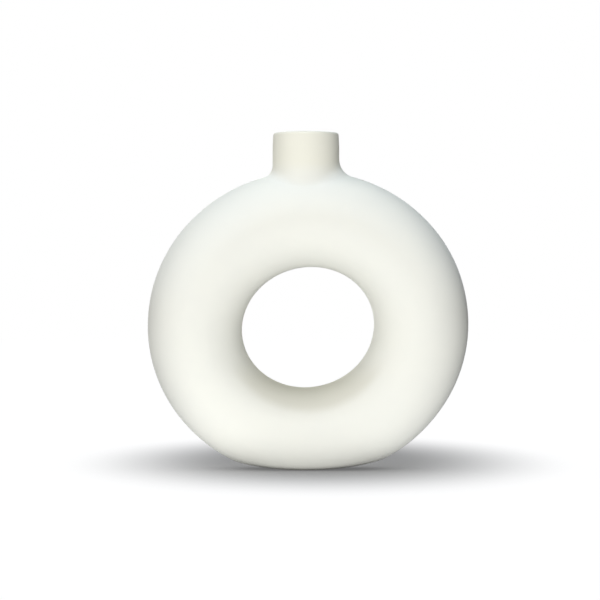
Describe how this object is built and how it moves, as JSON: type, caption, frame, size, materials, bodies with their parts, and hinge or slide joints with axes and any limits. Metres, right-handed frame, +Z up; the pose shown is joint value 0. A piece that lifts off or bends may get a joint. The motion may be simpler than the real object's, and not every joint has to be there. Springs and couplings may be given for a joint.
{
  "type": "ring vase",
  "caption": "Matte cream ring vase: a hollow clay tube bent into a leaning oval round an open hole, with a short round neck on top and a flat foot.",
  "frame": {"origin": "on the standing plane, under the middle of the ring", "axes": "+Z up; the ring stands in the XZ plane with its hole along Y, its front faces -Y, and its longer axis rises towards +X"},
  "size_m": [0.1304, 0.0386, 0.136],
  "materials": {
    "ring_clay": "fine matte, chalky to the touch, warm white",
    "neck_clay": "fine matte, a little creamier than the ring, rim wiped smooth",
    "seam_slip": "fired slip, fettled flush with the clay on both sides of it",
    "inner_glaze": "thin clear gloss glaze that makes the inside watertight"
  },
  "bodies": {
    "root": {"front_shell": "ring_clay", "back_shell": "ring_clay", "outer_seam": "seam_slip", "hole_seam": "seam_slip", "neck": "neck_clay", "neck_seam": "seam_slip", "neck_coil": "neck_clay", "liner": "inner_glaze"}
  },
  "joints": []
}
